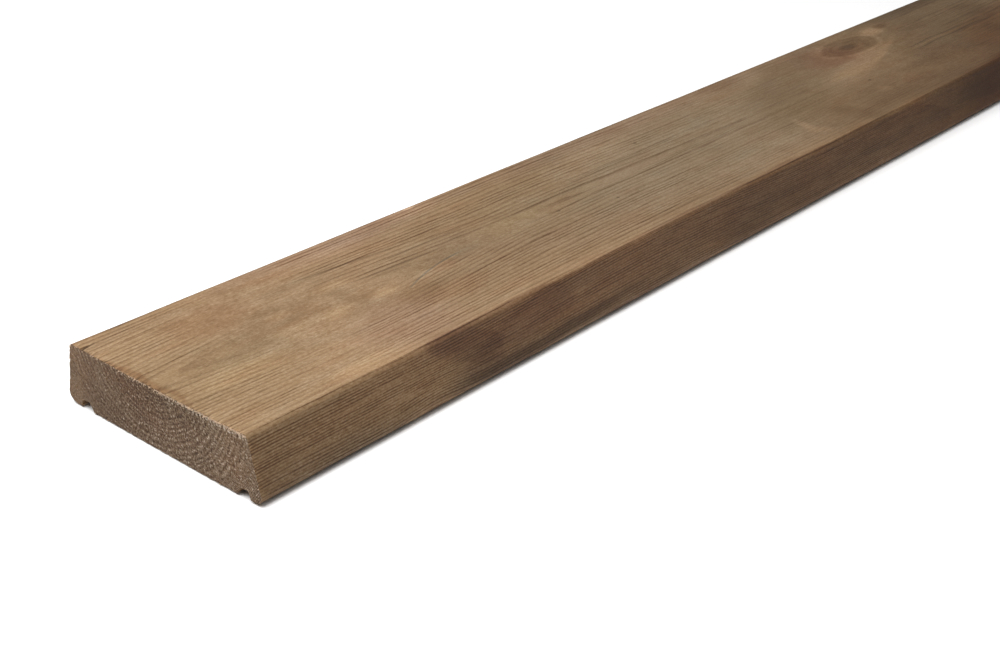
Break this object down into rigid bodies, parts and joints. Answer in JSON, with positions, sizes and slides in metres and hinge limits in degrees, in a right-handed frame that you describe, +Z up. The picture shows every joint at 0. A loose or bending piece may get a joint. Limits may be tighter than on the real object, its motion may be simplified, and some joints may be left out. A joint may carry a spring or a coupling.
{
  "type": "decking board",
  "caption": "Length of planed softwood decking with tapered sides, rounded edges and a shallow relief groove along each side of its underside.",
  "frame": {"origin": "middle of the underside: half way along the board, half way across it, on the bearing face", "axes": "+X along the grain, +Y across the board towards the side with the wider land, +Z up from the underside to the top face"},
  "size_m": [1.8, 0.12, 0.028],
  "materials": {
    "treated_softwood": "planed, with sawn ends"
  },
  "bodies": {
    "root": {"board": "treated_softwood"}
  },
  "joints": []
}
